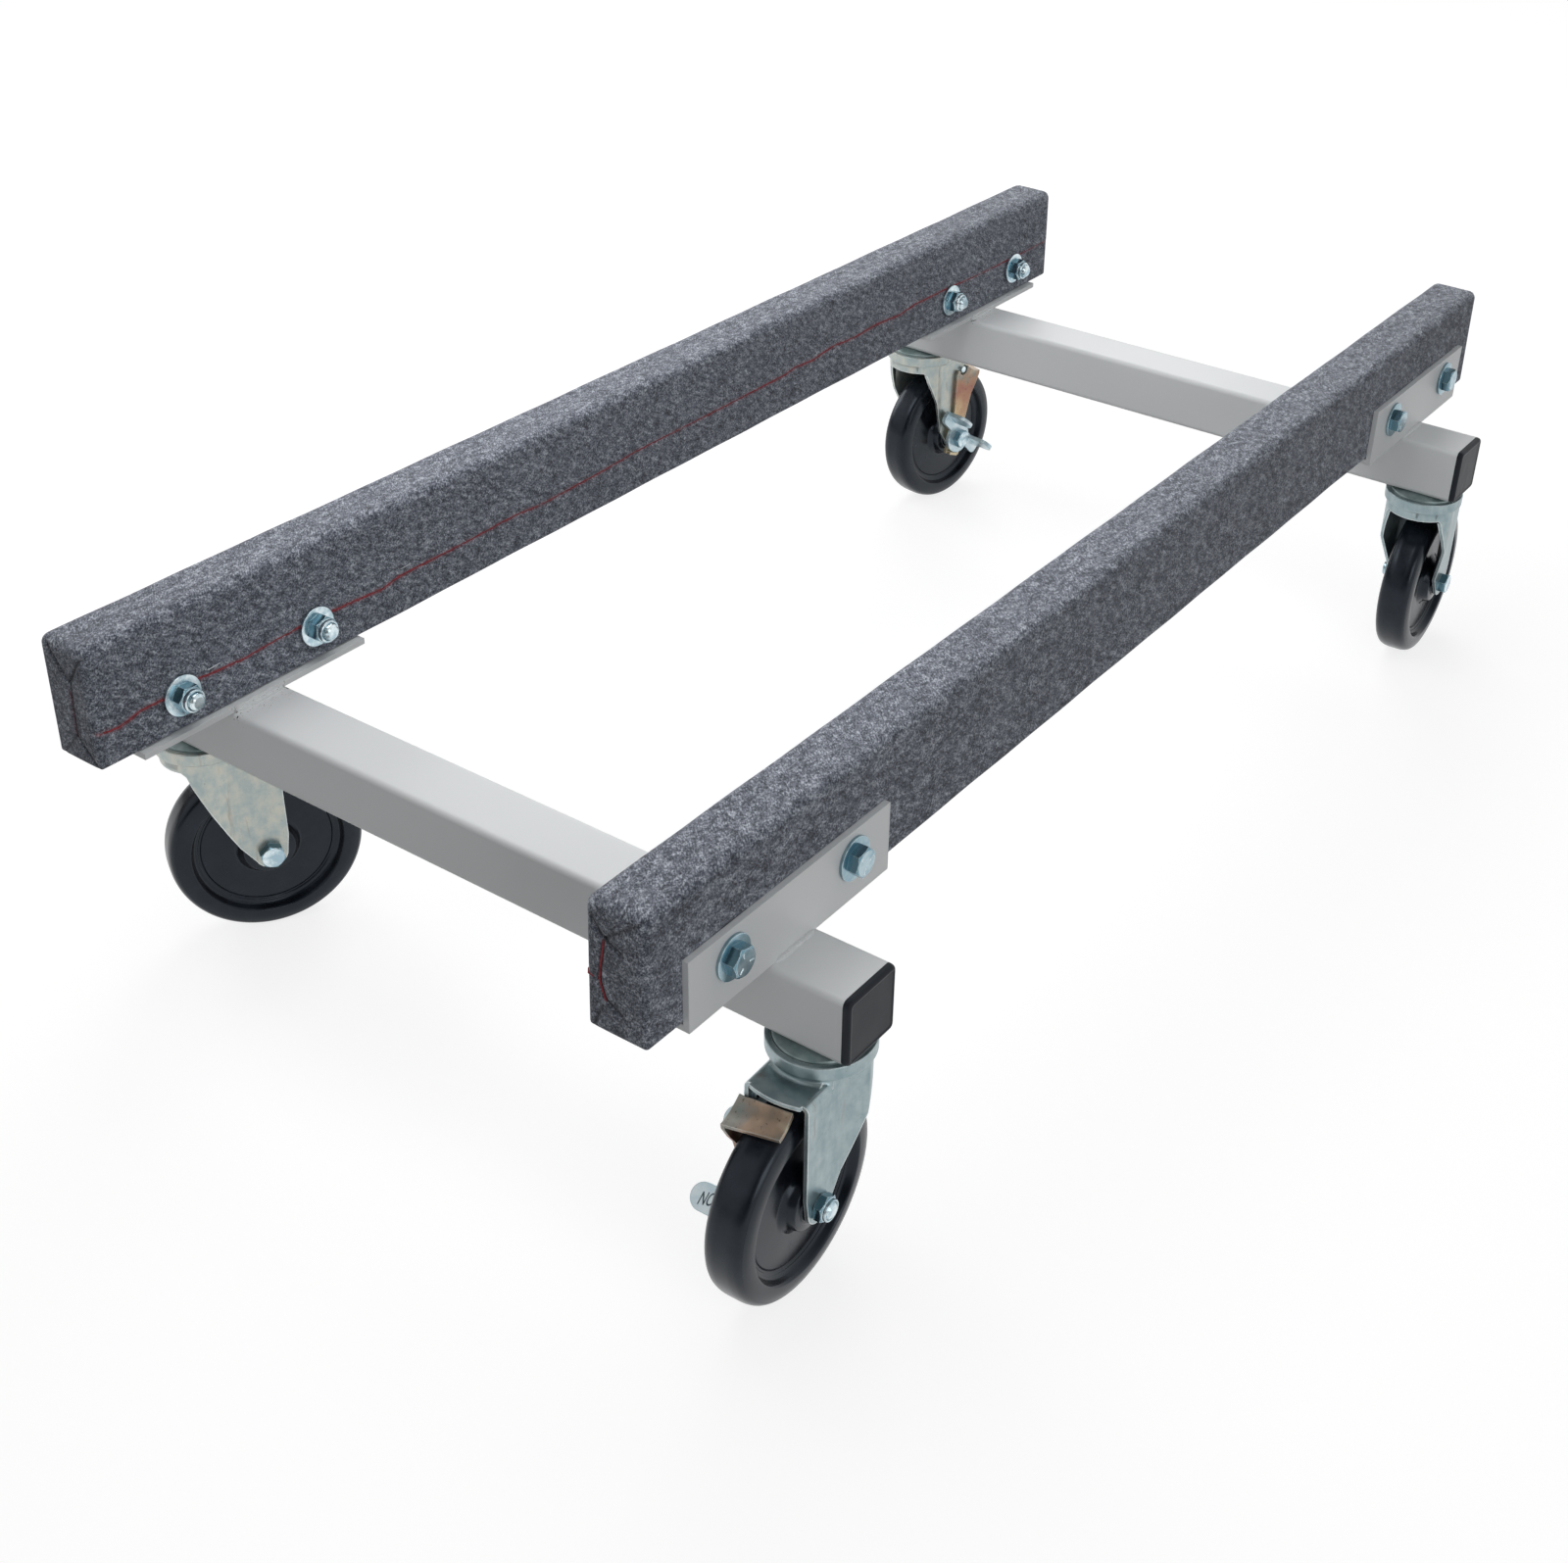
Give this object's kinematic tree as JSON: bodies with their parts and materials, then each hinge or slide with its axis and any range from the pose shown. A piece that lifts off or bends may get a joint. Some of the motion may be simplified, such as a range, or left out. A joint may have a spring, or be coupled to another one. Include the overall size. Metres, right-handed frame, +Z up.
{
  "type": "personal watercraft dolly",
  "caption": "Low trolley for a personal watercraft: felt-wrapped timber bunks on square steel cross tubes, rolling on swivel casters, some with a foot brake.",
  "frame": {"origin": "on the floor, midway between the cross tubes and midway between the bunks", "axes": "+X along the cross tubes to the right, +Y along the bunks to the rear, +Z up"},
  "size_m": [0.65, 1.254, 0.3362],
  "materials": {
    "powder_coat": "white powder coat over steel, satin, with a fine orange peel",
    "plug_plastic": "black moulded polyethylene",
    "timber": "dressed softwood, unpainted",
    "felt": "grey marled needle-punched marine felt",
    "zinc_fastener": "bright zinc plate",
    "race_steel": "dull greenish zinc plate",
    "zinc_sheet": "bluish zinc plate on pressed sheet, mottled",
    "zinc_lever": "light bluish zinc plate",
    "yellow_zinc": "yellow passivated zinc plate, iridescent",
    "ball_steel": "plain ground steel, greased",
    "wheel_plastic": "charcoal black moulded wheel, semi-gloss",
    "bush_plastic": "grey moulded bush"
  },
  "bodies": {
    "frame": {"front_cross_tube": "powder_coat", "rear_cross_tube": "powder_coat", "bracket_front_left": "powder_coat", "bracket_front_right": "powder_coat", "bracket_rear_left": "powder_coat", "bracket_rear_right": "powder_coat", "weld_beads": "powder_coat", "tube_end_plugs": "plug_plastic", "bunk_board_left": "timber", "bunk_board_right": "timber", "bunk_felt_left": "felt", "bunk_felt_right": "felt", "bunk_bolts": "zinc_fastener", "bunk_washers": "zinc_fastener", "bunk_lock_nuts": "zinc_fastener", "stem_nuts": "zinc_fastener", "stem_washers": "zinc_fastener", "lower_races": "race_steel", "top_race_fl": "race_steel", "top_race_fr": "race_steel", "top_race_rl": "race_steel", "top_race_rr": "race_steel"},
    "swivel_fl": {"fork_fl": "zinc_sheet", "balls_fl": "ball_steel", "axle_bolt_fl": "zinc_fastener", "axle_nut_fl": "zinc_fastener", "axle_sleeve_fl": "ball_steel"},
    "wheel_fl": {"wheel_fl": "wheel_plastic", "hub_bush_fl": "bush_plastic"},
    "swivel_fr": {"fork_fr": "zinc_sheet", "balls_fr": "ball_steel", "axle_bolt_fr": "zinc_fastener", "axle_nut_fr": "zinc_fastener", "axle_sleeve_fr": "ball_steel", "brake_rivet_fr": "zinc_fastener"},
    "wheel_fr": {"wheel_fr": "wheel_plastic", "hub_bush_fr": "bush_plastic"},
    "lever_fr": {"brake_lever_fr": "zinc_lever"},
    "strap_fr": {"brake_strap_fr": "yellow_zinc"},
    "swivel_rl": {"fork_rl": "zinc_sheet", "balls_rl": "ball_steel", "axle_bolt_rl": "zinc_fastener", "axle_nut_rl": "zinc_fastener", "axle_sleeve_rl": "ball_steel", "brake_rivet_rl": "zinc_fastener"},
    "wheel_rl": {"wheel_rl": "wheel_plastic", "hub_bush_rl": "bush_plastic"},
    "lever_rl": {"brake_lever_rl": "zinc_lever"},
    "strap_rl": {"brake_strap_rl": "yellow_zinc"},
    "swivel_rr": {"fork_rr": "zinc_sheet", "balls_rr": "ball_steel", "axle_bolt_rr": "zinc_fastener", "axle_nut_rr": "zinc_fastener", "axle_sleeve_rr": "ball_steel"},
    "wheel_rr": {"wheel_rr": "wheel_plastic", "hub_bush_rr": "bush_plastic"}
  },
  "joints": [
    {"name": "swivel_turn_fl", "type": "hinge", "parent": "frame", "child": "swivel_fl", "pos_m": [-0.288, -0.493, 0.1875], "axis": [0, 0, 1], "continuous": true},
    {"name": "wheel_spin_fl", "type": "hinge", "parent": "swivel_fl", "child": "wheel_fl", "pos_m": [-0.27127, -0.46283, 0.075], "axis": [-0.8746, 0.4848, 0], "continuous": true},
    {"name": "swivel_turn_fr", "type": "hinge", "parent": "frame", "child": "swivel_fr", "pos_m": [0.288, -0.493, 0.1875], "axis": [0, 0, 1], "continuous": true},
    {"name": "wheel_spin_fr", "type": "hinge", "parent": "swivel_fr", "child": "wheel_fr", "pos_m": [0.2892, -0.52748, 0.075], "axis": [0.9994, 0.0349, 0], "continuous": true},
    {"name": "lever_turn_fr", "type": "hinge", "parent": "swivel_fr", "child": "lever_fr", "pos_m": [0.2892, -0.52748, 0.075], "axis": [0.9994, 0.0349, 0], "range_deg": [0, 40]},
    {"name": "strap_slide_fr", "type": "slide", "parent": "swivel_fr", "child": "strap_fr", "axis": [-0.0125, 0.3582, -0.9336], "range_m": [0, 0.0012]},
    {"name": "swivel_turn_rl", "type": "hinge", "parent": "frame", "child": "swivel_rl", "pos_m": [-0.288, 0.493, 0.1875], "axis": [0, 0, 1], "continuous": true},
    {"name": "wheel_spin_rl", "type": "hinge", "parent": "swivel_rl", "child": "wheel_rl", "pos_m": [-0.2832, 0.52716, 0.075], "axis": [-0.9903, 0.1392, 0], "continuous": true},
    {"name": "lever_turn_rl", "type": "hinge", "parent": "swivel_rl", "child": "lever_rl", "pos_m": [-0.2832, 0.52716, 0.075], "axis": [-0.9903, 0.1392, 0], "range_deg": [0, 40]},
    {"name": "strap_slide_rl", "type": "slide", "parent": "swivel_rl", "child": "strap_rl", "axis": [-0.0499, -0.3549, -0.9336], "range_m": [0, 0.0012]},
    {"name": "swivel_turn_rr", "type": "hinge", "parent": "frame", "child": "swivel_rr", "pos_m": [0.288, 0.493, 0.1875], "axis": [0, 0, 1], "continuous": true},
    {"name": "wheel_spin_rr", "type": "hinge", "parent": "swivel_rr", "child": "wheel_rr", "pos_m": [0.28649, 0.52747, 0.075], "axis": [-0.999, -0.0436, 0], "continuous": true}
  ],
  "couplings": [
    {"joint": "strap_slide_fr", "follows": "lever_turn_fr", "m_per_rad": 0.001718},
    {"joint": "strap_slide_rl", "follows": "lever_turn_rl", "m_per_rad": 0.001718}
  ]
}
